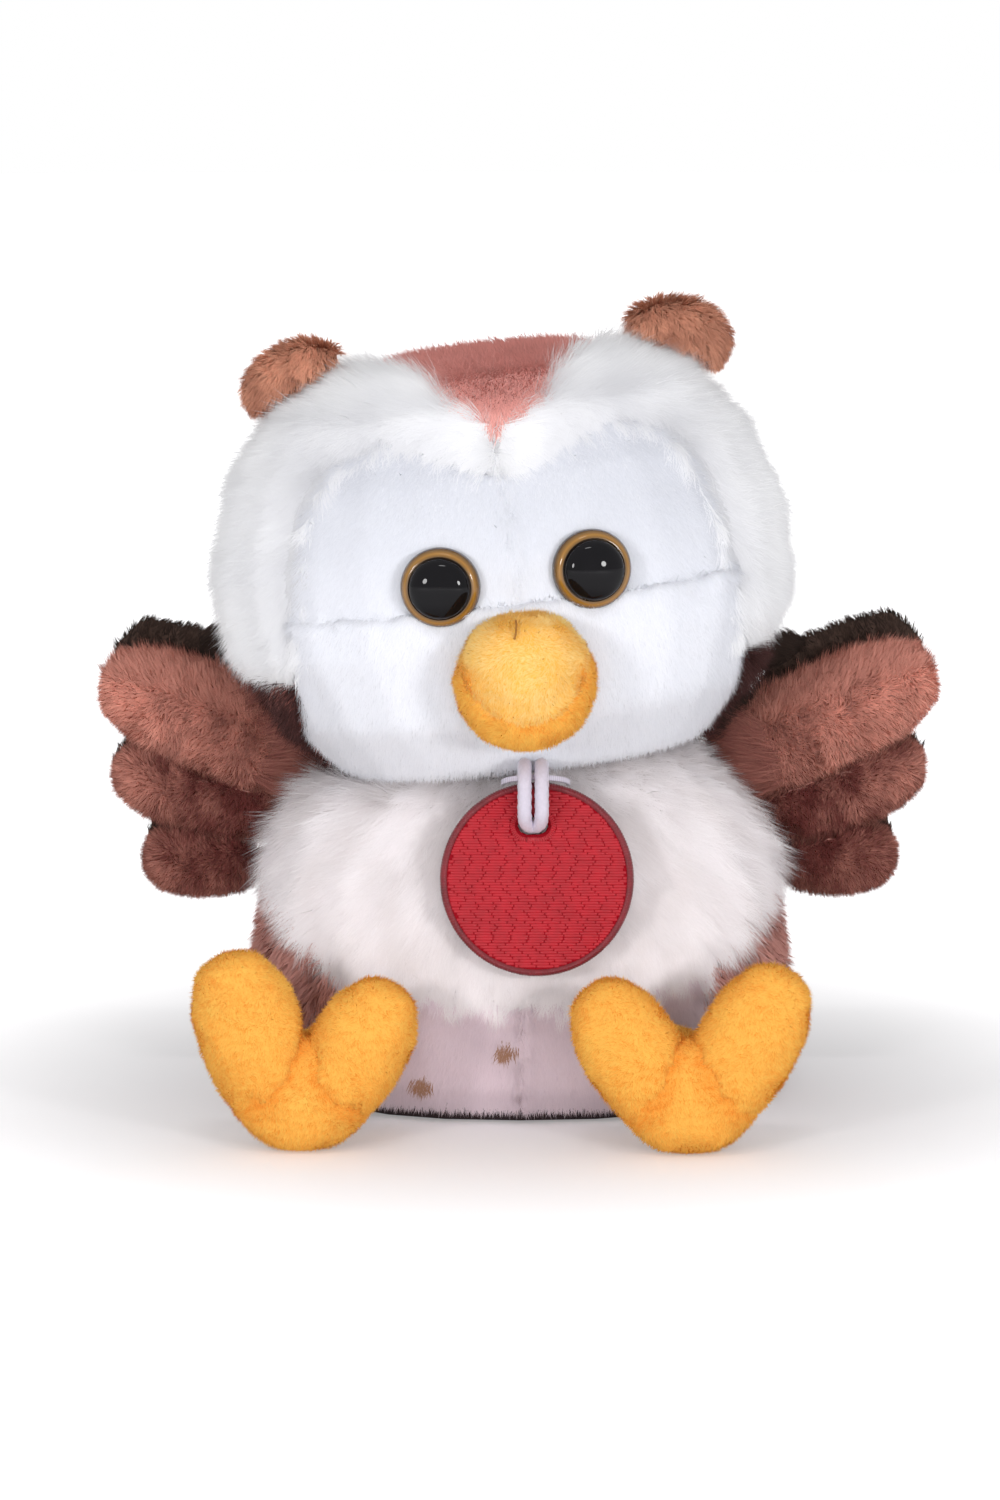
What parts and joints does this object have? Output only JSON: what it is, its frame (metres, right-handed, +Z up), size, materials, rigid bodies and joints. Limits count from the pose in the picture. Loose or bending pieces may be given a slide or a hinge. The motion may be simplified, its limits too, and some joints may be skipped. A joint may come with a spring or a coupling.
{
  "type": "plush owl",
  "caption": "Seated plush owl with a turned head, plastic eyes, stuffed beak, lobed wings, upright stuffed feet and a round tag hung from the neck seam.",
  "frame": {"origin": "centre of the flat base that the owl sits on, at floor level", "axes": "+Z up, -Y the way the body faces, +X the viewer's right when looking at the face"},
  "size_m": [0.1571, 0.1045, 0.1513],
  "materials": {
    "long_plush": "long white pile",
    "short_plush": "short white pile",
    "brown_plush": "rose-brown pile",
    "dark_plush": "dark brown pile",
    "tuft_plush": "red-brown pile",
    "velour": "yellow velour",
    "stuffing": "fibre filling",
    "pellet_cloth": "woven cotton",
    "stitching": "satin stitches",
    "white_cord": "soft cord",
    "amber_plastic": "clear amber gloss",
    "black_plastic": "high gloss",
    "washer_plastic": "moulded"
  },
  "bodies": {
    "torso": {"body_stuffing": "stuffing", "pellet_bag": "pellet_cloth", "chest_panel": "long_plush", "belly_left": "short_plush", "belly_right": "short_plush", "body_back_left": "brown_plush", "body_back_right": "brown_plush", "base_panel": "short_plush", "tag_ribbon": "white_cord"},
    "head": {"head_stuffing": "stuffing", "face_upper_left": "short_plush", "face_upper_right": "short_plush", "face_lower": "short_plush", "hood_left": "long_plush", "hood_right": "long_plush", "crown_panel": "brown_plush", "head_back_left": "brown_plush", "head_back_right": "brown_plush", "ear_tuft_left": "tuft_plush", "ear_tuft_right": "tuft_plush", "beak_upper": "velour", "beak_lower": "velour", "eye_left": "amber_plastic", "eye_left_pupil": "black_plastic", "eye_left_washer": "washer_plastic", "eye_right": "amber_plastic", "eye_right_pupil": "black_plastic", "eye_right_washer": "washer_plastic"},
    "wing_left": {"wing_left_upper": "brown_plush", "wing_left_middle": "brown_plush", "wing_left_lower": "brown_plush", "wing_left_lining": "dark_plush"},
    "wing_right": {"wing_right_upper": "brown_plush", "wing_right_middle": "brown_plush", "wing_right_lower": "brown_plush", "wing_right_lining": "dark_plush"},
    "foot_left": {"leg_left": "velour", "heel_left": "velour", "toe_inner_left": "velour", "toe_outer_left": "velour"},
    "foot_right": {"leg_right": "velour", "heel_right": "velour", "toe_inner_right": "velour", "toe_outer_right": "velour"},
    "tag": {"tag_disc": "stitching", "tag_loop": "white_cord"}
  },
  "joints": [
    {"name": "head_turn", "type": "hinge", "parent": "torso", "child": "head", "pos_m": [-0.0034, -0.004, 0.1012], "axis": [-0.1132, 0, 0.9936], "range_deg": [-20, 20], "stiffness_Nm_per_rad": 0.02},
    {"name": "wing_left_swing", "type": "hinge", "parent": "torso", "child": "wing_left", "pos_m": [-0.04957, 0.006, 0.052], "axis": [0.3714, 0, 0.9285], "range_deg": [-20, 35], "stiffness_Nm_per_rad": 0.004},
    {"name": "wing_right_swing", "type": "hinge", "parent": "torso", "child": "wing_right", "pos_m": [0.04957, 0.006, 0.052], "axis": [0.3714, 0, -0.9285], "range_deg": [-20, 35], "stiffness_Nm_per_rad": 0.004},
    {"name": "foot_left_flex", "type": "hinge", "parent": "torso", "child": "foot_left", "pos_m": [-0.033, -0.04016, 0.0125], "axis": [-1, 0, 0], "range_deg": [0, 18], "stiffness_Nm_per_rad": 0.004},
    {"name": "foot_right_flex", "type": "hinge", "parent": "torso", "child": "foot_right", "pos_m": [0.027, -0.04257, 0.0125], "axis": [-1, 0, 0], "range_deg": [0, 18], "stiffness_Nm_per_rad": 0.004},
    {"name": "tag_swing", "type": "hinge", "parent": "torso", "child": "tag", "pos_m": [0.0022, -0.0407, 0.0662], "axis": [-1, 0, 0], "range_deg": [0, 25]}
  ]
}
